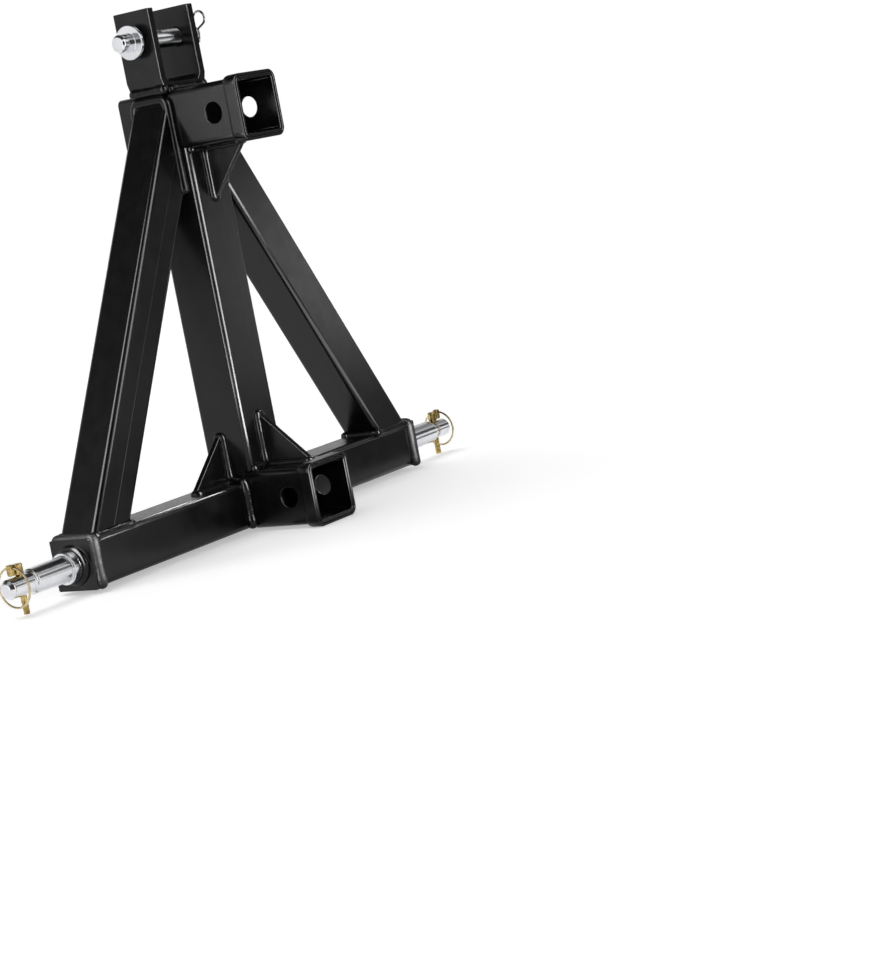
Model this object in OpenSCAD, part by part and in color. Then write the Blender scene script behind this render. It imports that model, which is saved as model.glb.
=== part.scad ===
// Three-point receiver hitch: a welded A-frame with two receiver tubes, two
// lower link pins and a clevis for the top link.
// Origin: the middle of the crossbar's underside. +X runs along the crossbar,
// the receiver mouths face -Y, and +Z is up.

/* [Crossbar] */
// Distance between the outer faces of the two end plates
span = 528; // [480:1:700]
// Outside width and height of the square crossbar tube
bar_w = 46; // [44:1:52]
// Wall of the crossbar tube
bar_wall = 4; // [3:0.5:6]
// Outside corner radius of the crossbar tube
bar_r = 5; // [2:0.5:7]
// Side of each square end plate
plate_w = 48; // [47:1:56]
// Thickness of each end plate
plate_t = 8; // [5:1:12]
// Corner radius of each end plate
plate_r = 1.5; // [0.5:0.5:4]

/* [Lower link pins] */
// Diameter of the welded shoulder collar
shoulder_d = 31; // [28:1:36]
// Length of the shoulder collar
shoulder_l = 9; // [6:1:12]
// Diameter of the pin where the link ball runs
pin_d = 24; // [22:0.5:27]
// Length of that part of the pin
pin_l = 43; // [38:1:60]
// Diameter of the stepped-down end
tip_d = 18; // [16:0.5:20]
// Length of the stepped-down end
tip_l = 42; // [38:1:44]
// Distance from the pin's end to its linch pin
linch_inset = 24.5; // [22:0.5:26]
// Chamfer on the step and on the nose
pin_chamfer = 3.5; // [2:0.5:4]

/* [Linch pins] */
// Diameter of the linch pin's shank
linch_d = 6; // [5:0.5:7]
// Length of shank below the link pin's axis
linch_reach = 26.5; // [20:0.5:27]
// Diameter of the linch pin's head
linch_head_d = 10; // [8:0.5:12]
// How far the ring's plane stands outboard of the shank
ring_offset = 9; // [8:0.5:11]
// Mean radius of the snap ring
ring_r = 18.5; // [18:0.5:20]
// Diameter of the snap ring's wire
ring_wire = 2.4; // [1.8:0.1:3]

/* [Mast] */
// Width of the mast post along the crossbar
post_w = 54; // [48:1:58]
// Depth of the mast post from front to rear
post_d = 54; // [48:1:58]
// Wall of the mast post
post_wall = 4; // [3:0.5:6]
// Outside corner radius of the mast post
post_r = 5; // [3:0.5:7]
// Height of the top link pin above the lower link pins
mast_height = 460; // [440:1:480]
// Width of each square leg tube
leg_w = 45; // [40:1:46]
// Wall of each leg tube
leg_wall = 4; // [3:0.5:6]
// Outside corner radius of each leg tube
leg_r = 5; // [3:0.5:6]
// Distance from the upper receiver's top down to the top of each leg
leg_head = 5; // [0:0.5:16]
// Gap along the crossbar between a leg's foot and the end plate
foot_gap = 3; // [2:0.5:20]
// How far the crossbar's rear stands behind the post
post_inset = 1; // [0:0.5:6]

/* [Receivers] */
// Clear opening of both receiver tubes
opening = 51; // [50:0.5:52]
// Wall of both receiver tubes
rec_wall = 3.5; // [3:0.5:6]
// Outside corner radius of both receiver tubes
rec_r = 6; // [5:0.5:7]
// Distance from the crossbar's middle to the lower receiver's mouth
lower_reach = 105; // [100:1:130]
// Distance from the crossbar's middle to the upper receiver's mouth
upper_reach = 107; // [100:1:130]
// How far the upper receiver runs out behind the crossbar's middle
upper_tail = 43; // [34:1:50]
// How far the lower receiver hangs below the crossbar
lower_drop = 2; // [0:0.5:4]
// How far each collar stands proud of its tube
collar_t = 3; // [2:0.5:5]
// Length of each collar along its tube
collar_l = 13; // [8:1:18]
// Diameter of the hitch-pin holes
hitch_hole_d = 20; // [16:0.5:21]
// Distance from the crossbar's middle to the hitch-pin holes
hitch_hole_y = 73; // [66:1:76]

/* [Top link clevis] */
// Clear gap between the two ears
ear_gap = 51; // [48:1:54]
// Thickness of the clevis plate
ear_t = 8; // [6:0.5:10]
// Depth of each ear from front to rear
ear_d = 44; // [38:1:50]
// Height of the clevis above the upper receiver
ear_h = 80; // [72:1:90]
// Height of the slanted lower part of each ear
bend_h = 13; // [10:1:16]
// How far each ear slants in at its foot
bend_in = 4; // [2:0.5:6]
// Height of the pin's axis above the upper receiver
eye_h = 51; // [44:1:56]

/* [Top link pin] */
// Diameter of the top link pin
top_pin_d = 19; // [17:0.5:22]
// Diameter of the pin's flange
flange_d = 33; // [28:1:36]
// Thickness of the flange
flange_t = 3.5; // [2:0.5:5]
// Gap between the flange and the left ear
flange_gap = 7.5; // [4:0.5:12]
// Diameter of the stub outside the flange
stub_d = 17; // [14:0.5:19]
// Length of that stub
stub_l = 16.5; // [12:0.5:22]
// Diameter of the cross hole in the stub
stub_hole_d = 6; // [4:0.5:7]
// Length of pin beyond the right ear
pin_out = 21.5; // [18:0.5:30]
// Distance from the pin's end to its clip
clip_inset = 5; // [4:0.5:8]
// Diameter of the clip's wire
clip_wire = 2.5; // [2:0.1:3]
// Length of the clip's straight leg below the pin's axis
clip_reach = 17; // [14:1:22]
// Radius of the clip's eye
eye_r = 7; // [6:0.5:9]
// How far the pin, its cross holes and its clip are turned towards the front
pin_turn = 24; // [0:1:30]

/* [Gussets] */
// Thickness of every gusset
gusset_t = 6; // [4:0.5:8]
// Height of the gussets above the crossbar
side_gusset_h = 47; // [40:1:56]
// Foot of the gussets along the crossbar
side_gusset_l = 52; // [44:1:60]
// Height of the gusset on the lower receiver
lower_gusset_h = 51; // [44:1:60]
// Foot of the gusset on the lower receiver
lower_gusset_l = 54; // [46:1:58]
// Height of the gusset under the upper receiver
upper_gusset_h = 50; // [44:1:60]
// Top of the gusset under the upper receiver
upper_gusset_l = 46; // [40:1:52]
// Width of the blunt nose at each gusset's tips
gusset_nose = 4; // [2:0.5:6]

/* [Welds] */
// Size of the beads round the legs
leg_bead = 6; // [4:0.5:7]
// Size of the other beads
bead = 4; // [3:0.5:4.5]
// Size of the beads along the gussets
gusset_bead = 3; // [2:0.5:4]

/* [Hidden] */
$fn = 48;
// Radial clearance of a pin that slides in its hole
fit = 0.05;
// Clearance between loose pieces that touch in use
loose = 0.3;
// Length added to a cut so that it runs past the surface
over = 1;

bar_front = -bar_w / 2;
bar_rear = bar_w / 2;
bar_l = span - 2 * plate_t;
pin_z = bar_w / 2;
top_z = pin_z + mast_height;

rec_w = opening + 2 * rec_wall;
lower_z = rec_w / 2 - lower_drop;
lower_top = rec_w - lower_drop;
upper_top = top_z - eye_h;
upper_z = upper_top - rec_w / 2;
upper_bottom = upper_top - rec_w;

post_rear = bar_rear - post_inset;
post_y = post_rear - post_d / 2;
post_front = post_rear - post_d;

foot_out = bar_l / 2 - foot_gap;
leg_top = upper_top - leg_head;
leg_slope = (foot_out - rec_w / 2) / (leg_top - bar_w);
leg_lean = atan(leg_slope);
foot_l = leg_w / cos(leg_lean);
foot_in = foot_out - foot_l;
leg_under = bar_w + (foot_in - post_w / 2) / leg_slope;

shoulder_x = span / 2 + shoulder_l;
tip_end = shoulder_x + pin_l + tip_l;
linch_x = tip_end - linch_inset;
linch_hole_d = linch_d + 2 * fit;
head_bottom = pin_z + tip_d / 2 + loose;
ring_axis_z = pin_z + ring_r;

ear_out = ear_gap / 2 + ear_t;
flange_x = -ear_out - flange_gap;
top_pin_end = ear_out + pin_out;
clip_x = top_pin_end - clip_inset;
clip_hole_d = clip_wire + 2 * loose;

// Shapes used by several pieces

// Rectangle w by d, centred, with round corners
module round_rect(w, d, r) {
    square([w - 2 * r, d], center = true);
    square([w, d - 2 * r], center = true);
    for (x = [-1, 1], y = [-1, 1])
        translate([x * (w / 2 - r), y * (d / 2 - r)]) circle(r);
}

// Section of a rectangular tube, centred
module tube_section(w, d, r, wall) {
    difference() {
        round_rect(w, d, r);
        round_rect(w - 2 * wall, d - 2 * wall, max(r - wall, 0.5));
    }
}

// Turns a shape drawn along +Z so that it runs along +X, +Y or -Y
module along_x() { rotate([90, 0, 90]) children(); }
module along_y() { rotate([-90, 0, 0]) children(); }

// A piece and its mirror image on the other end of the crossbar
module both_ends() {
    children();
    mirror([1, 0, 0]) children();
}

// Round weld bead of radius r with ball ends, centred, along one axis
module bead_z(l, r) {
    cylinder(h = l, r = r, center = true, $fn = 24);
    for (z = [-1, 1]) translate([0, 0, z * l / 2]) sphere(r, $fn = 24);
}
module bead_x(l, r) { rotate([0, 90, 0]) bead_z(l, r); }
module bead_y(l, r) { rotate([90, 0, 0]) bead_z(l, r); }

// Outer forms of the frame's pieces, without their hollows

module bar_form(l = bar_l) {
    translate([-l / 2, 0, bar_w / 2]) along_x() linear_extrude(l)
        round_rect(bar_w, bar_w, bar_r);
}

module plate_form() {
    translate([bar_l / 2, 0, pin_z]) along_x() linear_extrude(plate_t)
        round_rect(plate_w, plate_w, plate_r);
}

module shoulder_form() {
    translate([span / 2, 0, pin_z]) along_x() cylinder(h = shoulder_l, d = shoulder_d);
}

module receiver_form(reach, tail, z) {
    translate([0, -reach, z]) along_y() linear_extrude(reach + tail)
        round_rect(rec_w, rec_w, rec_r);
}

module collar_form(reach, z) {
    translate([0, -reach, z]) along_y() linear_extrude(collar_l)
        round_rect(rec_w + 2 * collar_t, rec_w + 2 * collar_t, rec_r + collar_t);
}

module upper_form() { receiver_form(upper_reach, upper_tail, upper_z); }
module lower_form() { receiver_form(lower_reach, bar_front, lower_z); }

// The post is coped to the round corners of the tube above it, and its front
// wall stops on top of the lower receiver.
module post_cut() {
    translate([0, post_y, bar_w]) linear_extrude(upper_z - bar_w) children();
}

module post_form() {
    difference() {
        post_cut() round_rect(post_w, post_d, post_r);
        upper_form();
        translate([-post_w, post_front - over, bar_w - over])
            cube([2 * post_w, bar_front - post_front + over, lower_top - bar_w + over]);
    }
}

// One leg as a long bar on its slant, before its ends are cut
module leg_stock() {
    translate([foot_out - foot_l / 2, 0, bar_w]) rotate([0, -leg_lean, 0])
        translate([0, 0, -leg_w]) linear_extrude(mast_height + leg_w) children();
}

// A leg is cut flat on the crossbar and upright against the post and the receiver
module leg_cut() {
    difference() {
        leg_stock() children();
        translate([-span, -span, bar_w - span]) cube([2 * span, 2 * span, span]);
        translate([-span, -span, 0]) cube([span + post_w / 2, 2 * span, 2 * span]);
        translate([-span, -span, upper_bottom]) cube([span + rec_w / 2, 2 * span, 2 * span]);
    }
}

module leg_form() { leg_cut() round_rect(leg_w, leg_w, leg_r); }

// Triangular plate in its own plane: foot along X, height along Y
module gusset_shape(l, h) {
    polygon([[0, 0], [l, 0], [l, gusset_nose], [gusset_nose, h], [0, h]]);
}

module side_gusset_form() {
    translate([post_w / 2, gusset_t / 2, bar_w]) rotate([90, 0, 0])
        linear_extrude(gusset_t) gusset_shape(side_gusset_l, side_gusset_h);
}

module lower_gusset_form() {
    translate([gusset_t / 2, post_front, lower_top]) rotate([90, 0, -90])
        linear_extrude(gusset_t) gusset_shape(lower_gusset_l, lower_gusset_h);
}

module upper_gusset_form() {
    translate([-gusset_t / 2, post_front, upper_bottom]) rotate([-90, 0, -90])
        linear_extrude(gusset_t) gusset_shape(upper_gusset_l, upper_gusset_h);
}

// Clevis seen from the front: a plate bent up on both sides
module clevis_shape() {
    foot_x = ear_out - bend_in;
    for (side = [0, 1]) mirror([side, 0]) {
        translate([ear_gap / 2, bend_h]) square([ear_t, ear_h - bend_h]);
        polygon([
            [foot_x, 0], [ear_out, bend_h], [ear_gap / 2, bend_h],
            [foot_x - ear_t, ear_t], [0, ear_t], [0, 0]
        ]);
    }
}

module clevis_form() {
    translate([0, ear_d / 2, upper_top]) rotate([90, 0, 0])
        linear_extrude(ear_d) clevis_shape();
}

// The frame's tubes and plates

module crossbar_tube() {
    color("#202224") translate([-bar_l / 2, 0, bar_w / 2]) along_x()
        linear_extrude(bar_l) tube_section(bar_w, bar_w, bar_r, bar_wall);
}

module end_plate() { color("#202224") plate_form(); }
module end_plate_left() { mirror([1, 0, 0]) end_plate(); }
module end_plate_right() { end_plate(); }

module mast_post() {
    color("#1e2022") difference() {
        post_form();
        translate([0, 0, -over]) post_cut()
            round_rect(post_w - 2 * post_wall, post_d - 2 * post_wall, 1);
    }
}

module leg() {
    color("#202224") difference() {
        leg_form();
        leg_stock() round_rect(leg_w - 2 * leg_wall, leg_w - 2 * leg_wall, 1);
    }
}
module leg_left() { mirror([1, 0, 0]) leg(); }
module leg_right() { leg(); }

// Square tube with a hitch-pin hole through both side walls
module receiver_tube(reach, tail, z) {
    color("#242628") difference() {
        translate([0, -reach, z]) along_y() linear_extrude(reach + tail)
            tube_section(rec_w, rec_w, rec_r, rec_wall);
        translate([-rec_w / 2 - over, -hitch_hole_y, z]) along_x()
            cylinder(h = rec_w + 2 * over, d = hitch_hole_d);
    }
}
module lower_receiver_tube() { receiver_tube(lower_reach, bar_front, lower_z); }
module upper_receiver_tube() { receiver_tube(upper_reach, upper_tail, upper_z); }

module receiver_collar(reach, z) {
    color("#26282a") translate([0, -reach, z]) along_y() linear_extrude(collar_l)
        tube_section(rec_w + 2 * collar_t, rec_w + 2 * collar_t, rec_r + collar_t, collar_t);
}
module lower_receiver_collar() { receiver_collar(lower_reach, lower_z); }
module upper_receiver_collar() { receiver_collar(upper_reach, upper_z); }

module lower_gusset() { color("#1c1e20") lower_gusset_form(); }
module upper_gusset() { color("#1c1e20") upper_gusset_form(); }
module side_gusset() { color("#1c1e20") side_gusset_form(); }
module side_gusset_left() { mirror([1, 0, 0]) side_gusset(); }
module side_gusset_right() { side_gusset(); }

module top_link_clevis() {
    color("#202224") difference() {
        clevis_form();
        translate([-ear_out - over, 0, top_z]) along_x()
            cylinder(h = 2 * (ear_out + over), d = top_pin_d + 2 * fit);
    }
}

// Pins and their keepers

// Stepped pin turned in one piece with its shoulder collar
module lower_link_pin() {
    step_x = shoulder_l + pin_l;
    end_x = step_x + tip_l;
    step_rise = (pin_d - tip_d) / 2;
    ease = 1;
    color("#b9bcc0") difference() {
        translate([span / 2, 0, pin_z]) along_x() rotate_extrude() polygon([
            [0, 0], [shoulder_d / 2, 0], [shoulder_d / 2, shoulder_l - ease],
            [shoulder_d / 2 - ease, shoulder_l], [pin_d / 2, shoulder_l],
            [pin_d / 2, step_x - step_rise], [tip_d / 2, step_x],
            [tip_d / 2, end_x - pin_chamfer], [tip_d / 2 - pin_chamfer, end_x], [0, end_x]
        ]);
        translate([linch_x, 0, pin_z - tip_d])
            cylinder(h = 2 * tip_d, d = linch_hole_d);
    }
}
module lower_link_pin_left() { mirror([1, 0, 0]) lower_link_pin(); }
module lower_link_pin_right() { lower_link_pin(); }

// Shank with a rounded point, a round head and the lug that holds the ring
module linch_pin() {
    head_top = ring_axis_z + ring_wire;
    lug_wall = 1.7;
    lug_d = ring_wire + 2 * (loose + lug_wall);
    lug_l = 5.5;
    shank_end = pin_z - linch_reach;
    point_w = 1.5;
    point_l = 3;
    ease = 1;
    color("#c9a032") difference() {
        union() {
            translate([linch_x, 0, shank_end]) rotate_extrude() polygon([
                [0, 0], [linch_d / 2 - point_w, 0], [linch_d / 2, point_l],
                [linch_d / 2, head_bottom - shank_end],
                [linch_head_d / 2, head_bottom - shank_end],
                [linch_head_d / 2, head_top - shank_end - ease],
                [linch_head_d / 2 - ease, head_top - shank_end],
                [0, head_top - shank_end]
            ]);
            translate([linch_x, -lug_l / 2, ring_axis_z - lug_d / 2])
                cube([ring_offset, lug_l, lug_d]);
            translate([linch_x + ring_offset, -lug_l / 2, ring_axis_z]) along_y()
                cylinder(h = lug_l, d = lug_d);
        }
        translate([linch_x + ring_offset, -lug_l / 2 - over, ring_axis_z]) along_y()
            cylinder(h = lug_l + 2 * over, d = ring_wire + 2 * loose);
    }
}
module linch_pin_left() { mirror([1, 0, 0]) linch_pin(); }
module linch_pin_right() { linch_pin(); }

// Snap ring, closed round the end of the link pin
module linch_ring() {
    color("#d0a63a") translate([linch_x + ring_offset, 0, pin_z]) along_x()
        rotate_extrude() translate([ring_r, 0]) circle(d = ring_wire, $fn = 16);
}
module linch_ring_left() { mirror([1, 0, 0]) linch_ring(); }
module linch_ring_right() { linch_ring(); }

// Pin with a flange and a drilled stub on its left, and a clip hole on its right
module top_link_pin() {
    shaft_l = top_pin_end - flange_x;
    stub_end = -flange_t - stub_l;
    chamfer = 2;
    ease = 0.6;
    color("#c2c5c9") difference() {
        translate([flange_x, 0, top_z]) along_x() rotate_extrude() polygon([
            [0, stub_end], [stub_d / 2 - chamfer, stub_end],
            [stub_d / 2, stub_end + chamfer], [stub_d / 2, -flange_t],
            [flange_d / 2 - ease, -flange_t], [flange_d / 2, -flange_t + ease],
            [flange_d / 2, -ease], [flange_d / 2 - ease, 0], [top_pin_d / 2, 0],
            [top_pin_d / 2, shaft_l - chamfer], [top_pin_d / 2 - chamfer, shaft_l], [0, shaft_l]
        ]);
        for (hole = [[clip_x, clip_hole_d], [flange_x - flange_t - stub_l / 2, stub_hole_d]])
            translate([hole[0], 0, top_z]) rotate([pin_turn, 0, 0])
                cylinder(h = 2 * top_pin_d, d = hole[1], center = true);
    }
}

// Hairpin clip, seen along X. Each point of its path is [y, z, heading]: a
// straight leg through the pin, a round eye above it, and a sprung leg that
// slants in to a pinch, curves round the front of the pin and flares out.
pinch_r = 2;
flare_r = 5;
side_l = 1;
slant = 38;
hug_from = 142;
hug_r = top_pin_d / 2 + clip_wire / 2 + loose;
pinch_y = (hug_r + pinch_r) * cos(hug_from);
pinch_z = (hug_r + pinch_r) * sin(hug_from);
eye_z = (pinch_y * cos(slant) + pinch_z * sin(slant) + pinch_r + eye_r * (1 + cos(slant)))
    / sin(slant);
clip_path = concat(
    [[0, -clip_reach, 90]],
    [for (a = [0:(180 + slant) / 16:180 + slant])
        [eye_r * cos(a) - eye_r, eye_z + eye_r * sin(a), a + 90]],
    [for (a = [slant:-(slant + 180 - hug_from) / 5:hug_from - 180])
        [pinch_y + pinch_r * cos(a), pinch_z + pinch_r * sin(a), a - 90]],
    [for (a = [hug_from + 6:8:180]) [hug_r * cos(a), hug_r * sin(a), a + 90]],
    [[-hug_r, -side_l, 270]],
    [for (a = [-10:-10:-40])
        [flare_r * cos(a) - hug_r - flare_r, flare_r * sin(a) - side_l, a - 90]]
);

// Round wire swept along such a path, with flat ends
module bent_wire(path, d, sides = 12) {
    last = len(path) - 1;
    polyhedron(
        points = [for (p = path, k = [0:sides - 1]) let (turn = k * 360 / sides) [
            d / 2 * sin(turn),
            p[0] - d / 2 * cos(turn) * sin(p[2]),
            p[1] + d / 2 * cos(turn) * cos(p[2])
        ]],
        faces = concat(
            [[for (k = [0:sides - 1]) k]],
            [[for (k = [sides - 1:-1:0]) last * sides + k]],
            [for (i = [0:last - 1], k = [0:sides - 1]) let (next = (k + 1) % sides)
                [i * sides + k, (i + 1) * sides + k, (i + 1) * sides + next, i * sides + next]]
        )
    );
}

module hairpin_clip() {
    color("#b4b7bb") translate([clip_x, 0, top_z]) rotate([pin_turn, 0, 0])
        bent_wire(clip_path, clip_wire);
}

// Weld beads

// In front of, behind and over the joint of the crossbar and each end plate. The
// underside is left clear, so that the crossbar lies flat.
module end_plate_beads() {
    both_ends() translate([bar_l / 2, 0, pin_z]) {
        for (side = [-1, 1])
            translate([0, side * bar_w / 2, 0]) bead_z(bar_w - bar_r, bead);
        translate([0, 0, bar_w / 2]) bead_y(bar_w - bar_r, bead);
    }
}

// Under and over the ends of the mast post
module post_beads() {
    for (side = [-1, 1])
        translate([side * post_w / 2, (bar_front + post_rear) / 2, bar_w])
            bead_y(post_rear - bar_front - 2 * bead, bead);
    translate([0, post_front, lower_top]) bead_x(post_w - 2 * post_r, bead);
    translate([0, post_front, upper_bottom]) bead_x(post_w - 2 * post_r, bead);
    translate([0, post_rear, upper_bottom]) bead_x(post_w - 2 * (leg_bead + bead), bead);
}

// Along the foot of the clevis on the upper receiver
module clevis_beads() {
    foot_x = ear_out - bend_in;
    in = 1;
    for (side = [-1, 1]) {
        translate([side * (foot_x - in), 0, upper_top - in]) bead_y(ear_d - bead, bead);
        translate([0, side * ear_d / 2, upper_top]) bead_x(2 * foot_x - 3 * bead, bead);
    }
}

module end_plate_welds() {
    color("#17181a") difference() {
        end_plate_beads();
        bar_form();
        both_ends() {
            plate_form();
            leg_form();
        }
    }
}

module link_pin_welds() {
    color("#17181a") both_ends() translate([span / 2, 0, pin_z]) along_x()
        rotate_extrude() intersection() {
            translate([shoulder_d / 2, 0]) circle(bead, $fn = 24);
            translate([shoulder_d / 2, 0]) square(bead);
        }
}

module post_welds() {
    color("#17181a") difference() {
        post_beads();
        bar_form();
        post_form();
        upper_form();
        lower_form();
        lower_gusset_form();
        upper_gusset_form();
        both_ends() {
            leg_form();
            side_gusset_form();
        }
    }
}

// In front of, behind and inside each leg's foot
module leg_foot_welds() {
    run = foot_l - 2 * leg_bead;
    in = 1;
    down = 0.5;
    color("#17181a") both_ends() difference() {
        union() {
            for (side = [-1, 1])
                translate([foot_in + foot_l / 2 - 2 * in, side * (leg_w / 2 - in), bar_w - down])
                    bead_x(run, bead);
            translate([foot_in, 0, bar_w]) bead_y(leg_w - 4 * leg_r, bead);
        }
        bar_form();
        leg_form();
    }
}

// Round the slanted end of each leg where it meets the post and the receiver, up
// to the bead at the foot of the clevis
module leg_top_welds() {
    in = 2;
    low = leg_under - leg_bead;
    high = leg_top - 2 * leg_bead;
    color("#17181a") both_ends() difference() {
        union() {
            for (side = [-1, 1])
                translate([rec_w / 2 - in / 3, side * (leg_w / 2 - in), (low + high) / 2])
                    bead_z(high - low, leg_bead);
            translate([rec_w / 2, 0, leg_top - in]) bead_y(leg_w - 3 * leg_r, leg_bead);
        }
        leg_form();
        post_form();
        upper_form();
        clevis_beads();
    }
}

// Beside and under the lower receiver, and behind both collars
module receiver_welds() {
    collar_bead = collar_t * 5 / 6;
    color("#17181a") difference() {
        union() {
            for (side = [-1, 1])
                translate([side * rec_w / 2, bar_front, bar_w / 2])
                    bead_z(bar_w - 2 * bar_r, bead);
            for (mouth = [[lower_reach, lower_z], [upper_reach, upper_z]]) {
                back = -mouth[0] + collar_l;
                for (side = [-1, 1]) {
                    translate([side * rec_w / 2, back, mouth[1]])
                        bead_z(rec_w - 2 * rec_r, collar_bead);
                    translate([0, back, mouth[1] + side * rec_w / 2])
                        bead_x(rec_w - 2 * rec_r, collar_bead);
                }
            }
        }
        bar_form();
        upper_form();
        lower_form();
        collar_form(upper_reach, upper_z);
        collar_form(lower_reach, lower_z);
        post_beads();
    }
}

// Both sides of every gusset, along both of its edges
module gusset_beads(l, h) {
    for (side = [-1, 1]) translate([0, 0, side * gusset_t / 2]) {
        translate([l / 2, 0, 0]) bead_x(l - 2 * gusset_bead, gusset_bead);
        translate([0, h / 2, 0]) bead_y(h - 2 * gusset_bead, gusset_bead);
    }
}

module gusset_welds() {
    color("#17181a") difference() {
        union() {
            both_ends() translate([post_w / 2, 0, bar_w]) rotate([90, 0, 0])
                gusset_beads(side_gusset_l, side_gusset_h);
            translate([0, post_front, lower_top]) rotate([90, 0, -90])
                gusset_beads(lower_gusset_l, lower_gusset_h);
            translate([0, post_front, upper_bottom]) rotate([-90, 0, -90])
                gusset_beads(upper_gusset_l, upper_gusset_h);
        }
        both_ends() side_gusset_form();
        lower_gusset_form();
        upper_gusset_form();
        bar_form();
        post_form();
        upper_form();
        lower_form();
        post_beads();
    }
}

module clevis_welds() {
    color("#17181a") difference() {
        clevis_beads();
        clevis_form();
        upper_form();
    }
}

crossbar_tube();
end_plate_left();
end_plate_right();
lower_link_pin_left();
lower_link_pin_right();
linch_pin_left();
linch_pin_right();
linch_ring_left();
linch_ring_right();
mast_post();
leg_left();
leg_right();
lower_receiver_tube();
lower_receiver_collar();
upper_receiver_tube();
upper_receiver_collar();
lower_gusset();
upper_gusset();
side_gusset_left();
side_gusset_right();
top_link_clevis();
top_link_pin();
hairpin_clip();
end_plate_welds();
link_pin_welds();
post_welds();
leg_foot_welds();
leg_top_welds();
receiver_welds();
gusset_welds();
clevis_welds();
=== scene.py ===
"""A three-point receiver hitch: welded A-frame, two receiver tubes, link pins and clevis."""
import math

import bpy
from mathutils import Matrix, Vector, noise


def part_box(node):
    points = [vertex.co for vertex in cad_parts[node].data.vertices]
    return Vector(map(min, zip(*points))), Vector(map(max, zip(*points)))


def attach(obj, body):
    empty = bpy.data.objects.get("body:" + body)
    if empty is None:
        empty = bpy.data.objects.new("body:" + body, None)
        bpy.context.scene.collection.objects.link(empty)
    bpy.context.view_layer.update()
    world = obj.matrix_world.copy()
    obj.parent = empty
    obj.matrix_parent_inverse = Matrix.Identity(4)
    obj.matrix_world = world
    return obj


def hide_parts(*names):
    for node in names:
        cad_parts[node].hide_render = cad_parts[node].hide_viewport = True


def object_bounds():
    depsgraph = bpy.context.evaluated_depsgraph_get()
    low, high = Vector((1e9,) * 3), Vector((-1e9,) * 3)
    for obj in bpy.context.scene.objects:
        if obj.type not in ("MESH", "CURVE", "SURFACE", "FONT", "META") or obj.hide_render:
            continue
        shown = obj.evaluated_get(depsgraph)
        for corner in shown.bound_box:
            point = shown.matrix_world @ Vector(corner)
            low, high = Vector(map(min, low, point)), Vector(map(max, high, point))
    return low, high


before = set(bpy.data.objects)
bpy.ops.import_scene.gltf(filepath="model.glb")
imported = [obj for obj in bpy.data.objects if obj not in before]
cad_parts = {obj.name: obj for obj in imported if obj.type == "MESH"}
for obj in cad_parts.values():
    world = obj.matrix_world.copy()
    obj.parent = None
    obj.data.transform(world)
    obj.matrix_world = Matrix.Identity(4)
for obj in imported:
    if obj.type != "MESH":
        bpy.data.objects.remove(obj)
cad_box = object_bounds()
MM = 0.001

# The view is a three-quarter one from the front left, low and turned a little about
# the line of sight, with a long lens, so the crossbar climbs towards the right.
view_place = (-1.898, -1.591, 0.370)
view_angles = (81.45, 10.51, -56.07)
camera_data = bpy.data.cameras.new("view")
camera_data.sensor_fit = "VERTICAL"
camera_data.sensor_height = 36
camera_data.lens = 93.5
camera = bpy.data.objects.new("view", camera_data)
camera.location = view_place
camera.rotation_euler = [math.radians(angle) for angle in view_angles]
bpy.context.scene.collection.objects.link(camera)
bpy.context.scene.camera = camera

# The crossbar is a square steel tube, sawn to length, that carries the whole frame. The
# welded frame is sprayed with black powder, and baking turns that into a very dark gloss
# skin with a fine orange peel.
coat_black = (0.0016, 0.0017, 0.0019, 1)
coat_black_thin = (0.0032, 0.0033, 0.0035, 1)
coat_patch = 30 * MM
coat_cloud = 14 * MM
coat_roughness = 0.22
coat_gloss = 0.26
peel_size = 1.8 * MM
peel_depth = 0.04 * MM
tube_edge = 0.7 * MM
mesh_gap = 0.01 * MM
eased_from = math.radians(35)


def patchy(nodes, links, size, detail=3):
    """A value that rises and falls over the piece in patches of the given size."""
    place = nodes.new("ShaderNodeTexCoord")
    patches = nodes.new("ShaderNodeTexNoise")
    patches.inputs["Scale"].default_value = 1 / size
    patches.inputs["Detail"].default_value = detail
    links.new(place.outputs["Object"], patches.inputs["Vector"])
    return patches.outputs["Fac"]


def blotches(nodes, links, size, low, high):
    """A colour or a grey that wanders between low and high in patches of the given size."""
    ramp = nodes.new("ShaderNodeValToRGB")
    ramp.color_ramp.elements[0].position = 0.3
    ramp.color_ramp.elements[1].position = 0.7
    ramp.color_ramp.elements[0].color = low
    ramp.color_ramp.elements[1].color = high
    links.new(patchy(nodes, links, size), ramp.inputs["Fac"])
    return ramp.outputs["Color"]


def grey(value):
    return (value, value, value, 1)


def new_finish(name):
    """A new material, with its nodes, its links and its surface shader."""
    finish = bpy.data.materials.new(name)
    finish.use_nodes = True
    tree = finish.node_tree
    return finish, tree.nodes, tree.links, tree.nodes["Principled BSDF"]


def relief(nodes, links, surface, height, depth, strength):
    """Fine surface relief of the given real depth."""
    bump = nodes.new("ShaderNodeBump")
    bump.inputs["Strength"].default_value = strength
    bump.inputs["Distance"].default_value = depth
    links.new(height, bump.inputs["Height"])
    links.new(bump.outputs["Normal"], surface.inputs["Normal"])


def cloud_roughness(nodes, links, surface, size, smoothest, roughest):
    """Lets the roughness of a surface wander between two values in patches."""
    cloud = blotches(nodes, links, size, grey(smoothest), grey(roughest))
    links.new(cloud, surface.inputs["Roughness"])


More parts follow.
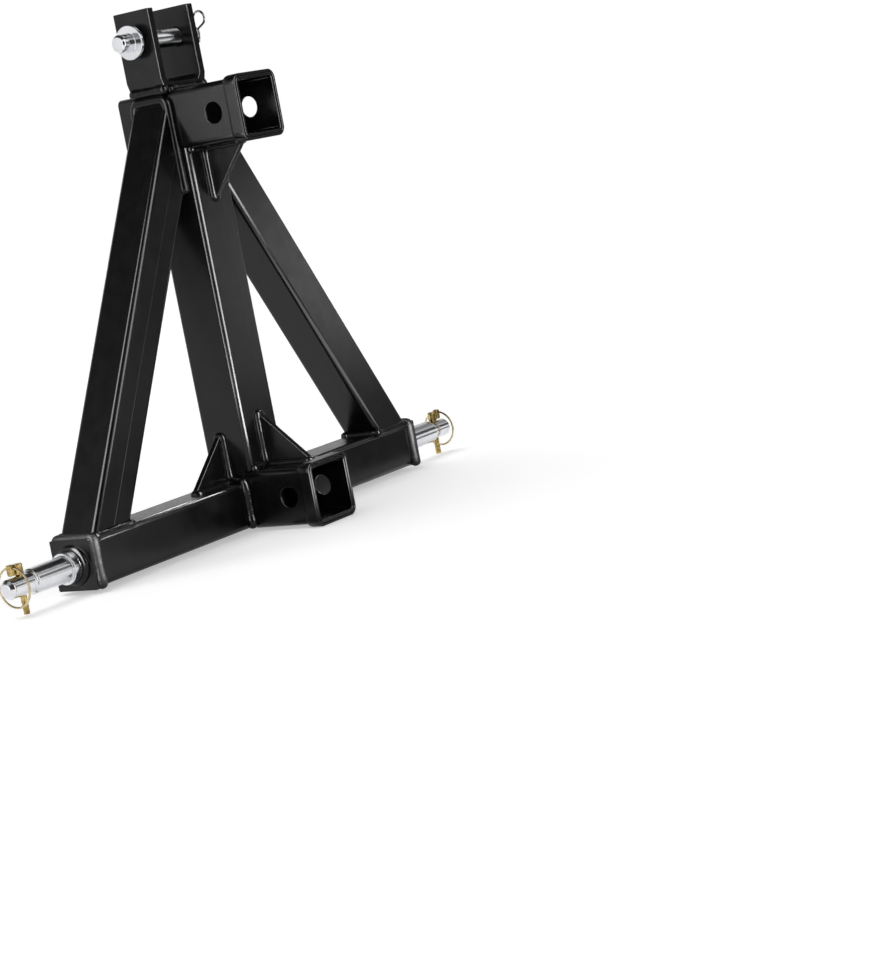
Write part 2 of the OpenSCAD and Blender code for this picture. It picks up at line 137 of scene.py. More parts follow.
def powder_coat(name, roughness, size, depth):
    """Baked black powder, with an orange peel of the given size and depth."""
    finish, nodes, links, surface = new_finish(name)
    surface.inputs["Specular IOR Level"].default_value = coat_gloss
    shade = blotches(nodes, links, coat_patch, coat_black, coat_black_thin)
    links.new(shade, surface.inputs["Base Color"])
    cloud_roughness(nodes, links, surface, coat_cloud, roughness - 0.02, roughness + 0.03)
    relief(nodes, links, surface, patchy(nodes, links, size, 1), depth, 0.3)
    return finish


def dress(node, finish, edge=0):
    """Gives a CAD node its finish and, where its edges were sharp, a small round on them."""
    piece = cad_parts[node]
    piece.data.materials.clear()
    piece.data.materials.append(finish)
    if edge:
        weld = piece.modifiers.new("closed edges", "WELD")
        weld.merge_threshold = mesh_gap
        ease = piece.modifiers.new("eased edges", "BEVEL")
        ease.width = edge
        ease.segments = 3
        ease.limit_method = "ANGLE"
        ease.angle_limit = eased_from
        ease.use_clamp_overlap = True
        ease.harden_normals = True


black_coat = powder_coat("black powder coat", coat_roughness, peel_size, peel_depth)
dress("crossbar_tube", black_coat, tube_edge)
bar_low, bar_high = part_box("crossbar_tube")

# The end plates close the crossbar. Each is a square of flat bar with sawn edges, and it
# takes the whole pull of its lower link pin.
plate_edge = 1.0 * MM
for side in ("left", "right"):
    dress("end_plate_" + side, black_coat, plate_edge)

# A fat round weld joins each plate to the crossbar, up the front, over the top and down the
# rear. It was laid by hand, so it swells and ripples a little and starts and ends in a drop,
# and the powder lies grainy on it.
weld_coat = powder_coat("coated weld", coat_roughness, peel_size, peel_depth)
grain_roughness = 0.45
grain_size = 1.0 * MM
grain_depth = 0.5 * MM
grainy_weld_coat = powder_coat("coated grainy weld", grain_roughness, grain_size, grain_depth)
bead_step = 0.8 * MM
bead_sides = 20
ripple_pitch = 3.2 * MM
swell_pitch = 15 * MM
lump_size = 4 * MM
swell_spread = 90
drop_middle = 0.6
end_angles = [math.radians(angle) for angle in (12, 25, 40, 55, 70, 85)]
corner_steps = 8


def round_corners(corners, bend):
    """A line's corner points, with a small smooth curve in place of each inner one."""
    corners = [Vector(corner) for corner in corners]
    route = [corners[0]]
    for before, corner, after in zip(corners, corners[1:], corners[2:]):
        back = before - corner
        on = after - corner
        start = corner + back.normalized() * min(bend, back.length / 2)
        end = corner + on.normalized() * min(bend, on.length / 2)
        for k in range(corner_steps + 1):
            t = k / corner_steps
            route.append(start * (1 - t) ** 2 + corner * 2 * t * (1 - t) + end * t ** 2)
    route.append(corners[-1])
    return route


def even_steps(route):
    """Points at equal steps along a route."""
    even = [route[0]]
    left_over = 0
    for a, b in zip(route, route[1:]):
        length = (b - a).length
        along = bead_step - left_over
        while along <= length and length > 0:
            even.append(a.lerp(b, along / length))
            along += bead_step
        left_over = length - (along - bead_step)
    return even


def lay_bead(shape, corners, radius, bend, ripple=0.006, swell=0.10, lump=0.03, drop=0.16):
    """Adds one bead with round ends to shape, a pair of lists of points and faces. Its ripple,
    swell, lumps and the drop at its ends are shares of its radius."""
    points, faces = shape
    route = even_steps(round_corners(corners, bend))
    ways = [(b - a).normalized() for a, b in zip(route, route[1:])]
    ways.append(ways[-1])
    rings = []
    for angle in reversed(end_angles):
        rings.append((route[0] - ways[0] * radius * math.sin(angle), ways[0],
                      math.cos(angle), 0))
    for i, (place, way) in enumerate(zip(route, ways)):
        rings.append((place, way, 1, i * bead_step))
    run_end = len(route) * bead_step
    for angle in end_angles:
        rings.append((route[-1] + ways[-1] * radius * math.sin(angle), ways[-1],
                      math.cos(angle), run_end))
    across = ways[0].orthogonal().normalized()
    first = len(points)
    for place, way, shrink, run in rings:
        across = (across - way * across.dot(way)).normalized()
        beside = way.cross(across)
        wave = ripple * math.sin(2 * math.pi * run / ripple_pitch)
        along = Vector((run / swell_pitch, 0, 0))
        fat = swell * noise.noise(route[0] * swell_spread + along)
        to_end = min(run, run_end - run) / radius
        fat += drop * math.exp(-(to_end - drop_middle) ** 2)
        for k in range(bead_sides):
            angle = 2 * math.pi * k / bead_sides
            out = across * math.cos(angle) + beside * math.sin(angle)
            bump = lump * noise.noise((place + out * radius) / lump_size)
            points.append(place + out * radius * shrink * (1 + wave + fat + bump))
    for ring in range(len(rings) - 1):
        for k in range(bead_sides):
            a = first + ring * bead_sides + k
            b = first + ring * bead_sides + (k + 1) % bead_sides
            faces.append((a, b, b + bead_sides, a + bead_sides))
    last = first + (len(rings) - 1) * bead_sides
    faces.append(tuple(range(first + bead_sides - 1, first - 1, -1)))
    faces.append(tuple(range(last, last + bead_sides)))


def new_solid(name, shape):
    """An object with smooth shading, made from points and faces."""
    mesh = bpy.data.meshes.new(name)
    mesh.from_pydata([tuple(p) for p in shape[0]], [], shape[1])
    mesh.polygons.foreach_set("use_smooth", [True] * len(mesh.polygons))
    solid = bpy.data.objects.new(name, mesh)
    bpy.context.scene.collection.objects.link(solid)
    return solid


def make_piece(name, shape, finish, body, slot, *replaced, holes=()):
    """Turns points and faces into a smooth piece that rides on a body."""
    piece = new_solid(name, shape)
    for hole in holes:
        drill(piece, *hole)
    piece.data.materials.append(finish)
    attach(piece, body)
    if replaced:
        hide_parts(*replaced)
    return piece


plate_bead = 5 * MM
plate_bead_foot = 3 * MM
plate_bead_bend = 4 * MM
plate_runs = ([], [])
for side in (-1, 1):
    x = side * bar_high.x
    foot = bar_low.z + plate_bead_foot
    lay_bead(plate_runs, [(x, bar_low.y, foot), (x, bar_low.y, bar_high.z),
                          (x, bar_high.y, bar_high.z), (x, bar_high.y, foot)],
             plate_bead, plate_bead_bend)
make_piece("end_plate_runs", plate_runs, grainy_weld_coat, "frame", "weld_bead", "end_plate_welds")

# Each lower link pin is one bar of bright steel, turned in steps: a shoulder that is welded
# to the plate, the thick part where the link's ball runs, and a thinner end with a blunt nose.
steel_light = (0.78, 0.79, 0.81, 1)
steel_dark = (0.68, 0.69, 0.72, 1)
steel_patch = 20 * MM
steel_cloud = 6 * MM
turning_pitch = 0.5 * MM
turning_depth = 0.01 * MM


def turned_steel(name, roughness, groove):
    """Bright steel with the fine rings that a lathe leaves round an axis along X."""
    finish, nodes, links, surface = new_finish(name)
    surface.inputs["Metallic"].default_value = 1
    links.new(blotches(nodes, links, steel_patch, steel_dark, steel_light),
              surface.inputs["Base Color"])
    cloud_roughness(nodes, links, surface, steel_cloud, roughness - 0.02, roughness + 0.03)
    place = nodes.new("ShaderNodeTexCoord")
    rings = nodes.new("ShaderNodeTexWave")
    rings.bands_direction = "X"
    rings.inputs["Scale"].default_value = 1 / (turning_pitch * 2 * math.pi)
    rings.inputs["Distortion"].default_value = 0.4
    links.new(place.outputs["Object"], rings.inputs["Vector"])
    relief(nodes, links, surface, rings.outputs["Fac"], turning_depth, groove)
    return finish


def turn(shape, foot, way, profile, closed=False, sides=96):
    """Adds a solid turned about way. Its profile is pairs of distance from foot and radius in
    mm, and a closed one comes back to its first pair, as a ring's does."""
    points, faces = shape
    across = way.orthogonal().normalized()
    beside = way.cross(across)
    first = len(points)
    for stop in profile:
        for k in range(sides):
            angle = 2 * math.pi * k / sides
            out = across * math.cos(angle) + beside * math.sin(angle)
            points.append(foot + (way * stop[0] + out * stop[1]) * MM)
    for ring in range(len(profile) - 1):
        for k in range(sides):
            a = first + ring * sides + k
            b = first + ring * sides + (k + 1) % sides
            faces.append((a, b, b + sides, a + sides))
    if not closed:
        last = first + (len(profile) - 1) * sides
        faces.append(tuple(range(first + sides - 1, first - 1, -1)))
        faces.append(tuple(range(last, last + sides)))


def drill(piece, place, way, radius, depth):
    """Takes a round hole out of a piece, both ways from place. Radius and depth are in mm."""
    bit_shape = ([], [])
    turn(bit_shape, Vector(place), way, [(-depth, radius), (depth, radius)], sides=48)
    bit = new_solid("drill bit", bit_shape)
    cut = piece.modifiers.new("hole", "BOOLEAN")
    cut.object = bit
    whole = bpy.context.evaluated_depsgraph_get()
    drilled = bpy.data.meshes.new_from_object(piece.evaluated_get(whole))
    piece.modifiers.clear()
    piece.data = drilled
    bpy.data.objects.remove(bit)


def turned_edges(piece):
    """Keeps the flats of a turned piece flat and its real corners sharp."""
    piece.data.set_sharp_from_angle(angle=math.radians(30))
    piece.modifiers.new("flat flats", "WEIGHTED_NORMAL").keep_sharp = True


bright_steel = turned_steel("bright turned steel", 0.16, 0.2)
turned_ease = 0.8
axis_gap = 0.1
shoulder_end = 13.5
shoulder_radius = 15
ball_end = 57.5
ball_radius = 12.5
ball_end_radius = 12.1
tip_start = 59
tip_radius = 9.6
nose_start = 86.5
nose_radius = 9.4
pin_end = 90
pin_end_radius = 6
link_pin_profile = round_corners([(0, shoulder_radius), (shoulder_end, shoulder_radius),
                                  (shoulder_end, ball_radius), (ball_end, ball_end_radius),
                                  (tip_start, tip_radius), (nose_start, nose_radius),
                                  (pin_end, pin_end_radius), (pin_end, axis_gap)], turned_ease)
plate_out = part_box("end_plate_right")[1].x
pin_z = (bar_low.z + bar_high.z) / 2
linch_solid_radius = 5 * MM
linch_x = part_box("linch_pin_right")[0].x + linch_solid_radius
linch_hole_radius = 3.3
drill_reach = 20
upwards = Vector((0, 0, 1))
for side, name in ((-1, "left"), (1, "right")):
    link_pin = ([], [])
    outwards = Vector((side, 0, 0))
    turn(link_pin, outwards * plate_out + upwards * pin_z, outwards, link_pin_profile)
    turned_edges(make_piece("link_pin_" + name, link_pin, bright_steel, "frame", "bright_steel",
                            "lower_link_pin_" + name,
                            holes=[((side * linch_x, 0, pin_z), upwards,
                                    linch_hole_radius, drill_reach)]))

# A ring of weld metal holds the shoulder of each pin to its plate. It runs right round the
# pin and is coated with the rest of the frame.
dress("link_pin_welds", weld_coat)

# A linch pin drops through the end of each link pin. It is steel with a golden zinc finish,
# and its cast head has a short neck to a round lug, with an eye that carries the spring ring.
zinc_gold = (0.68, 0.50, 0.20, 1)
zinc_straw = (0.22, 0.15, 0.05, 1)
zinc_patch = 4 * MM
zinc_cloud = 3 * MM
zinc_grain = 0.9 * MM
zinc_grain_depth = 0.03 * MM


def yellow_zinc(name, roughness, dark, light):
    """Zinc plating from a yellow bath, blotched between a dark and a light gold."""
    finish, nodes, links, surface = new_finish(name)
    surface.inputs["Metallic"].default_value = 1
    links.new(blotches(nodes, links, zinc_patch, dark, light), surface.inputs["Base Color"])
    cloud_roughness(nodes, links, surface, zinc_cloud, roughness - 0.03, roughness + 0.05)
    relief(nodes, links, surface, patchy(nodes, links, zinc_grain), zinc_grain_depth, 0.25)
    return finish


gold_zinc = yellow_zinc("yellow zinc", 0.17, zinc_straw, zinc_gold)
cast_ease = 1.0
shank_low = -26.5
shank_point = 0.6
shank_radius = 3
head_low = 10
head_high = 20
head_radius = 4.6
linch_profile = round_corners([(shank_low, axis_gap), (shank_low, shank_radius - shank_point),
                               (shank_low + shank_point, shank_radius), (head_low, shank_radius),
                               (head_low, head_radius), (head_high, head_radius),
                               (head_high, axis_gap)], cast_ease)
ring_stand = 9
ring_x = linch_x + ring_stand * MM
ring_radius = 18.5
lug_low = 11
lug_high = 21
lug_radius = 3.6
lug_profile = round_corners([(lug_low, axis_gap), (lug_low, lug_radius),
                             (lug_high, lug_radius), (lug_high, axis_gap)], cast_ease)
neck_radius = 2.8
neck_short = 2
neck_height = 15.5
neck_profile = [(0, neck_radius), (ring_stand - neck_short, neck_radius)]
neck_z = pin_z + neck_height * MM
eye_radius = 1.6
eye_reach = 8
eye_drop = 0.15
eye_z = pin_z + (ring_radius - eye_drop) * MM
for side, name in ((-1, "left"), (1, "right")):
    linch_pin = ([], [])
    turn(linch_pin, Vector((side * linch_x, 0, pin_z)), upwards, linch_profile, sides=48)
    turn(linch_pin, Vector((side * ring_x, 0, pin_z)), upwards, lug_profile, sides=32)
    turn(linch_pin, Vector((side * linch_x, 0, neck_z)), Vector((side, 0, 0)), neck_profile,
         sides=32)
    turned_edges(make_piece("linch_" + name, linch_pin, gold_zinc, "linch_" + name, "yellow_zinc",
                            "linch_pin_" + name,
                            holes=[((side * ring_x, 0, eye_z), Vector((0, 1, 0)),
                                    eye_radius, eye_reach)]))

# The ring is a loop of spring wire with a paler coat of the same zinc. It runs through the
# eye of the linch pin's lug and snaps down over the end of the link pin.
zinc_pale = (0.74, 0.64, 0.42, 1)
zinc_sand = (0.45, 0.37, 0.21, 1)
pale_zinc = yellow_zinc("pale yellow zinc", 0.22, zinc_sand, zinc_pale)
wire_radius = 1.05
wire_angles = [math.radians(angle) for angle in range(0, 361, 30)]
wire_profile = [(wire_radius * math.cos(angle), ring_radius + wire_radius * math.sin(angle))
                for angle in wire_angles]
for side, name in ((-1, "left"), (1, "right")):
    ring = ([], [])
    turn(ring, Vector((side * ring_x, 0, pin_z)), Vector((1, 0, 0)), wire_profile, closed=True)
    make_piece("ring_" + name, ring, pale_zinc, "ring_" + name, "yellow_zinc", "linch_ring_" + name)

# The mast post is a square tube that stands on the crossbar and carries the receivers. The
# mill's own seam shows as a faint raised line down its front.
dress("mast_post", black_coat, tube_edge)
post_low, post_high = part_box("mast_post")
lower_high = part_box("lower_receiver_tube")[1]
upper_low, upper_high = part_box("upper_receiver_tube")
small_bead = 4 * MM
seam_radius = 3 * MM
seam_rise = 0.08 * MM
post_seam_at = 0.70


def lay_seam(shape, bottom, top):
    """A straight low ridge along a tube's front face, its middle sunk into the wall."""
    sink = Vector((0, seam_radius - seam_rise, 0))
    lay_bead(shape, [Vector(bottom) + sink, Vector(top) + sink], seam_radius, 0,
             ripple=0, swell=0, lump=0, drop=0)


post_seam = ([], [])
seam_x = post_low.x + (post_high.x - post_low.x) * post_seam_at
lay_seam(post_seam, (seam_x, post_low.y, lower_high.z), (seam_x, post_low.y, upper_low.z))
make_piece("post_seam", post_seam, black_coat, "frame", "black_powder_coat")

# One run joins the lower receiver to the crossbar on each side, turns over the tube's edge
# and goes on along the foot of the post. Short runs close the post's front and its head.
side_bead = 5 * MM
side_bend = 8 * MM
bead_lift = 1 * MM
side_lift = 1.8 * MM
post_runs = ([], [])
for side in (-1, 1):
    receiver_side = side * (lower_high.x + side_lift)
    post_side = side * (post_high.x + bead_lift)
    bar_top = bar_high.z + bead_lift
    lay_bead(post_runs, [(receiver_side, bar_low.y, bar_low.z + small_bead),
                         (receiver_side, bar_low.y, bar_top),
                         (post_side, bar_low.y + 2 * side_bead, bar_top),
                         (post_side, post_high.y - small_bead, bar_top)],
             side_bead, side_bend)
front_half = post_high.x - small_bead
for z in (lower_high.z + bead_lift, upper_low.z - bead_lift):
    lay_bead(post_runs, [(-front_half, post_low.y, z), (front_half, post_low.y, z)],
             small_bead, 0)
rear_half = post_high.x - 2.5 * small_bead
lay_bead(post_runs, [(-rear_half, post_high.y, upper_low.z),
                     (rear_half, post_high.y, upper_low.z)], small_bead, 0)
make_piece("post_runs", post_runs, weld_coat, "frame", "weld_bead", "post_welds")

# The legs are square tubes that brace the mast from both ends of the crossbar. They are cut
# flat at the foot and upright at the head. The left one shows its seam on the front as well.
for side in ("left", "right"):
    dress("leg_" + side, black_coat, tube_edge)
leg_low, leg_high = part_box("leg_right")
leg_width = leg_high.y - leg_low.y
leg_slope = (leg_high.x - lower_high.x) / (leg_high.z - leg_low.z)
leg_foot = leg_width * math.sqrt(1 + leg_slope ** 2)
foot_inner = leg_high.x - leg_foot
leg_meets_post = leg_low.z + (foot_inner - post_high.x) / leg_slope
leg_seam_at = 0.52
leg_seam = ([], [])
seam_foot_x = leg_high.x - leg_foot * leg_seam_at
seam_head_z = leg_low.z + (seam_foot_x - post_high.x) / leg_slope
lay_seam(leg_seam, (-seam_foot_x, leg_low.y, leg_low.z), (-post_high.x, leg_low.y, seam_head_z))
make_piece("leg_seam", leg_seam, black_coat, "frame", "black_powder_coat")

# Each foot is welded in front and behind, from the end plate to a drop past its inner edge,
# and across its inside.
foot_runs = ([], [])
inner_bead = 0.8 * small_bead
foot_past = 1.5 * MM
foot_inset = 1 * MM
for side in (-1, 1):
    for y in (leg_low.y + foot_inset, leg_high.y - foot_inset):
        lay_bead(foot_runs, [(side * (leg_high.x - small_bead / 2), y, leg_low.z),
                             (side * (foot_inner - foot_past), y, leg_low.z)], small_bead, 0)
    inner = leg_width / 2 - 2 * small_bead
    lay_bead(foot_runs, [(side * foot_inner, -inner, leg_low.z),
                         (side * foot_inner, inner, leg_low.z)], inner_bead, 0)
make_piece("leg_foot_runs", foot_runs, weld_coat, "frame", "weld_bead", "leg_foot_welds")

# The head of each leg has the fattest weld of all: one run that climbs the front, bends
# over the top and comes down behind.
head_bead = 5.2 * MM
head_lift = 1.8 * MM
head_inset = 2 * MM
head_bend = 9 * MM
head_runs = ([], [])
for side in (-1, 1):
    x = side * (upper_high.x + head_lift)
    front, rear = leg_low.y + head_inset, leg_high.y - head_inset
    foot = leg_meets_post - head_bead
    top = leg_high.z - head_inset
    lay_bead(head_runs, [(x, front, foot), (x, front, top), (x, rear, top), (x, rear, foot)],
             head_bead, head_bend, ripple=0.002, swell=0.08, lump=0.01)
make_piece("leg_head_runs", head_runs, weld_coat, "frame", "weld_bead", "leg_top_welds")

# The receivers are square tubes that take a hitch bar. A collar is welded round each mouth
# to stiffen it, and a hole goes through both walls for the hitch pin.
for level in ("lower", "upper"):
    dress(level + "_receiver_tube", black_coat, plate_edge)
    dress(level + "_receiver_collar", black_coat, plate_edge)

# A thin run of weld fills the step behind each collar. It goes round all four sides of the
# tube, from the middle of the underside and back to it.
collar_bead = 2.5 * MM
collar_corner = 6 * MM
collar_runs = ([], [])
for level in ("lower", "upper"):
    tube_low, tube_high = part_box(level + "_receiver_tube")
    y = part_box(level + "_receiver_collar")[1].y
    lay_bead(collar_runs, [(0, y, tube_low.z), (tube_low.x, y, tube_low.z),
                           (tube_low.x, y, tube_high.z), (tube_high.x, y, tube_high.z),
                           (tube_high.x, y, tube_low.z), (0, y, tube_low.z)],
             collar_bead, collar_corner)
make_piece("collar_runs", collar_runs, weld_coat, "frame", "weld_bead", "receiver_welds")

# The gussets are triangles of flat plate that stiffen the corners of the frame. Each of
# their two edges has a thin run that wraps round the tip and comes back on the far side.
gusset_edge = 0.8 * MM
for gusset in ("lower_gusset", "upper_gusset", "side_gusset_left", "side_gusset_right"):
    dress(gusset, black_coat, gusset_edge)
gusset_bead = 4 * MM
tip_bend = 3 * MM
gusset_runs = ([], [])


def wrap_edge(shape, corner, along, beside):
    """A run on both sides of a plate's edge, from its inside corner round the far tip."""
    start = along.normalized() * gusset_bead
    lay_bead(shape, [corner + start + beside, corner + along + beside,
                     corner + along - beside, corner + start - beside],
             gusset_bead, tip_bend)


for side, node in ((-1, "side_gusset_left"), (1, "side_gusset_right")):
    low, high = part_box(node)
    corner = Vector((side * post_high.x, 0, low.z))
    beside = Vector((0, low.y, 0))
    wrap_edge(gusset_runs, corner, Vector((0, 0, high.z - low.z)), beside)
    wrap_edge(gusset_runs, corner, Vector((side * (high.x - low.x), 0, 0)), beside)
for node, corner_z, up in (("lower_gusset", lower_high.z + bead_lift, 1),
                           ("upper_gusset", upper_low.z - bead_lift, -1)):
    low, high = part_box(node)
    corner = Vector((0, post_low.y, corner_z))
    beside = Vector((low.x, 0, 0))
    wrap_edge(gusset_runs, corner, Vector((0, 0, up * (high.z - low.z))), beside)
    wrap_edge(gusset_runs, corner, Vector((0, low.y - high.y, 0)), beside)
make_piece("gusset_runs", gusset_runs, weld_coat, "frame", "weld_bead", "gusset_welds")

# The clevis is one strap of plate bent up on both sides, for the tractor's top link. Its
# edges were cut by flame and ground, so they catch the light.
clevis_edge = 0.9 * MM
dress("top_link_clevis", black_coat, clevis_edge)
clevis_low, clevis_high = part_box("top_link_clevis")

# Four straight runs weld the clevis to the top of the receiver: a fat one under each ear and
# a small one across each open side.
clevis_inset = 4 * MM
clevis_foot = clevis_high.x - clevis_inset
clevis_bead = 5 * MM
clevis_end = 3 * MM
clevis_runs = ([], [])
for side in (-1, 1):
    x = side * clevis_foot
    z = clevis_low.z + side_lift
    lay_bead(clevis_runs, [(x, clevis_low.y + clevis_end, z),
                           (x, clevis_high.y - clevis_end, z)], clevis_bead, 0)
    y = side * clevis_high.y
    half = clevis_foot - 1.5 * small_bead
    z = clevis_low.z + bead_lift
    lay_bead(clevis_runs, [(-half, y, z), (half, y, z)], small_bead, 0)
make_piece("clevis_runs", clevis_runs, weld_coat, "frame", "weld_bead", "clevis_welds")

# The top link pin is turned from the same bright steel. It has a flange that stops it at the
# clevis, a drilled stub for the hand outside that, and a small hole for its clip at the end.
top_pin_low, top_pin_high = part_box("top_link_pin")
end_chamfer = 2
stub_radius = 8.5
stub_end = 16.5
flange_radius = 16.5
flange_end = 20
shaft_radius = 9.5
top_pin_length = 116
top_pin_profile = round_corners([(0, axis_gap), (0, stub_radius - end_chamfer),
                                 (end_chamfer, stub_radius), (stub_end, stub_radius),
                                 (stub_end, flange_radius), (flange_end, flange_radius),
                                 (flange_end, shaft_radius),
                                 (top_pin_length - end_chamfer, shaft_radius),
                                 (top_pin_length, shaft_radius - end_chamfer),
                                 (top_pin_length, axis_gap)], turned_ease)
top_pin_z = (top_pin_low.z + top_pin_high.z) / 2
stub_hole_x = top_pin_low.x + stub_end / 2 * MM
stub_hole_radius = 3
clip_wire_radius = 1.25 * MM
clip_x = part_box("hairpin_clip")[0].x + clip_wire_radius
clip_hole_radius = 1.55
clip_lean = math.radians(24)
clip_way = Vector((0, -math.sin(clip_lean), math.cos(clip_lean)))
top_pin = ([], [])
turn(top_pin, Vector((top_pin_low.x, 0, top_pin_z)), Vector((1, 0, 0)), top_pin_profile)
turned_edges(make_piece("top_pin", top_pin, bright_steel, "top_pin", "bright_steel", "top_link_pin",
                        holes=[((stub_hole_x, 0, top_pin_z), clip_way,
                                stub_hole_radius, drill_reach),
                               ((clip_x, 0, top_pin_z), clip_way,
                                clip_hole_radius, drill_reach)]))

# The hairpin clip is bent from spring wire. One leg goes through the hole in the top link
# pin's end, and the other springs over the outside and keeps the pin in.
spring_wire = turned_steel("spring wire", 0.2, 0.0)
dress("hairpin_clip", spring_wire)

# The floor is a plain white sheet. It shines a little into the lens and into polished
# metal, so that it reads as white, and it still takes the hitch's soft shadow.
floor_half = 6.0
floor_z = cad_box[0][2]
floor_white = 0.9
floor_glow = 0.42
floor_mesh = bpy.data.meshes.new("floor")
floor_mesh.from_pydata([(-floor_half, -floor_half, floor_z), (floor_half, -floor_half, floor_z),
                        (floor_half, floor_half, floor_z), (-floor_half, floor_half, floor_z)],
                       [], [(0, 1, 2, 3)])
floor = bpy.data.objects.new("floor", floor_mesh)
bpy.context.scene.collection.objects.link(floor)
floor_finish, nodes, links, surface = new_finish("white floor")
surface.inputs["Base Color"].default_value = grey(floor_white)
surface.inputs["Roughness"].default_value = 0.9
surface.inputs["Specular IOR Level"].default_value = 0
surface.inputs["Emission Color"].default_value = grey(1)
rays = nodes.new("ShaderNodeLightPath")
lens_or_gloss = nodes.new("ShaderNodeMath")
lens_or_gloss.operation = "MAXIMUM"
links.new(rays.outputs["Is Camera Ray"], lens_or_gloss.inputs[0])
links.new(rays.outputs["Is Glossy Ray"], lens_or_gloss.inputs[1])
seen = nodes.new("ShaderNodeMath")
seen.operation = "MAXIMUM"
links.new(lens_or_gloss.outputs[0], seen.inputs[0])
links.new(rays.outputs["Is Transmission Ray"], seen.inputs[1])
glow = nodes.new("ShaderNodeMath")
glow.operation = "MULTIPLY"
glow.inputs[1].default_value = floor_glow
links.new(seen.outputs[0], glow.inputs[0])
links.new(glow.outputs[0], surface.inputs["Emission Strength"])
floor_mesh.materials.append(floor_finish)

# The studio round it has white walls under a dim ceiling, so that flat black faces stay
# black and only the ones that look along the floor turn grey.
wall_top = math.sin(math.radians(20))
ceiling_from = math.sin(math.radians(40))
ceiling_grey = 0.04
world = bpy.data.worlds.new("studio")
bpy.context.scene.world = world
world.use_nodes = True
nodes, links = world.node_tree.nodes, world.node_tree.links
nodes.clear()
direction = nodes.new("ShaderNodeTexCoord")
heights = nodes.new("ShaderNodeSeparateXYZ")
links.new(direction.outputs["Generated"], heights.inputs[0])
fade = nodes.new("ShaderNodeMapRange")
fade.inputs["From Min"].default_value = wall_top
fade.inputs["From Max"].default_value = ceiling_from
fade.inputs["To Min"].default_value = 1
fade.inputs["To Max"].default_value = ceiling_grey
links.new(heights.outputs["Z"], fade.inputs["Value"])
studio = nodes.new("ShaderNodeBackground")
links.new(fade.outputs["Result"], studio.inputs["Color"])
output = nodes.new("ShaderNodeOutputWorld")
links.new(studio.outputs[0], output.inputs["Surface"])

# A wide soft lamp high overhead lights the floor evenly and gives the hitch its shadow. It
# leans a little, so that the shadow falls to the right and back, and no gloss shows it.
overhead_strength = 1.35
overhead_spread = 50
overhead_lean = (-14, -12, 0)
overhead = bpy.data.lights.new("overhead lamp", "SUN")
overhead.energy = overhead_strength
overhead.angle = math.radians(overhead_spread)
overhead_lamp = bpy.data.objects.new("overhead lamp", overhead)
overhead_lamp.visible_glossy = False
overhead_lamp.rotation_euler = [math.radians(angle) for angle in overhead_lean]
bpy.context.scene.collection.objects.link(overhead_lamp)

# Black gloss shows little but what it mirrors, so softboxes that show in gloss alone draw
# its lines. Edges, beads, receivers and bare metal gather such light differently, so each
# group of pieces has its own brightness.
bright_lines = bpy.data.collections.new("pieces with bright lines")
bead_lines = bpy.data.collections.new("beads with one bright line")
grainy_beads = bpy.data.collections.new("grainy beads")
soft_lines = bpy.data.collections.new("pieces with soft lines")
receiver_lines = bpy.data.collections.new("receivers and collars")
quiet_lines = bpy.data.collections.new("pieces with quiet lines")
bare_metal = bpy.data.collections.new("bare metal pieces")
dressed = [piece for piece in bpy.data.objects if piece.type == "MESH" and piece.data.materials]
for piece in dressed:
    if piece.data.materials[0] in (bright_steel, gold_zinc, pale_zinc, spring_wire):
        bare_metal.objects.link(piece)
    elif piece.name == "end_plate_runs":
        grainy_beads.objects.link(piece)
    elif piece.name in ("collar_runs", "leg_head_runs", "clevis_runs"):
        quiet_lines.objects.link(piece)
    elif piece.name in ("leg_left", "leg_seam"):
        soft_lines.objects.link(piece)
    elif "_receiver_" in piece.name:
        receiver_lines.objects.link(piece)
    elif "runs" in piece.name:
        bead_lines.objects.link(piece)
    else:
        bright_lines.objects.link(piece)


def alone(name, *nodes):
    """A group of a few CAD nodes that need a softbox of their own."""
    group = bpy.data.collections.new(name)
    for node in nodes:
        group.objects.link(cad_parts[node])
    return group


def softbox(name, place, aim, width, height, brightness, pieces):
    """A flat lamp for shine alone: it shows in the gloss of its pieces and lights nothing."""
    lamp = bpy.data.lights.new(name, "AREA")
    lamp.shape = "RECTANGLE"
    lamp.size = width
    lamp.size_y = height
    lamp.energy = brightness * math.pi * width * height
    box = bpy.data.objects.new(name, lamp)
    box.location = place
    box.rotation_euler = (Vector(place) - Vector(aim)).to_track_quat("Z", "Y").to_euler()
    box.visible_camera = False
    box.visible_diffuse = False
    box.light_linking.receiver_collection = pieces
    bpy.context.scene.collection.objects.link(box)


# Two upright softboxes, at the left and in front, draw the lines down the round corners of
# the tubes. They are dimmer for the left leg, the receivers and the fattest beads, and
# dimmest for the bare metal, which mirrors nearly all of what it meets.
left_place = (-0.64, 0.03, 0.56)
front_place = (0.02, -0.70, 0.56)
upright_aim = (0, 0, 0.56)
for pieces, left, front in ((bright_lines, 28, 28), (bead_lines, 8, 28), (grainy_beads, 28, 28),
                            (soft_lines, 14, 10), (receiver_lines, 8, 20), (quiet_lines, 6, 6),
                            (bare_metal, 0.4, 1.2)):
    softbox("left softbox", left_place, upright_aim, 0.34, 1.10, left, pieces)
    softbox("front softbox", front_place, upright_aim, 0.34, 1.10, front, pieces)

# Other softboxes lie flat in front of the hitch. They draw the lines of what stands low: the
# end plates and their beads, the foot of the post, the lower receiver's mouth and the lower
# end of the right leg.
lying_z = 0.002


def lying_softbox(name, x, y, width, height, brightness, pieces):
    """A softbox that lies just over the floor and faces up."""
    softbox(name, (x, y, lying_z), (x, y, 1), width, height, brightness, pieces)


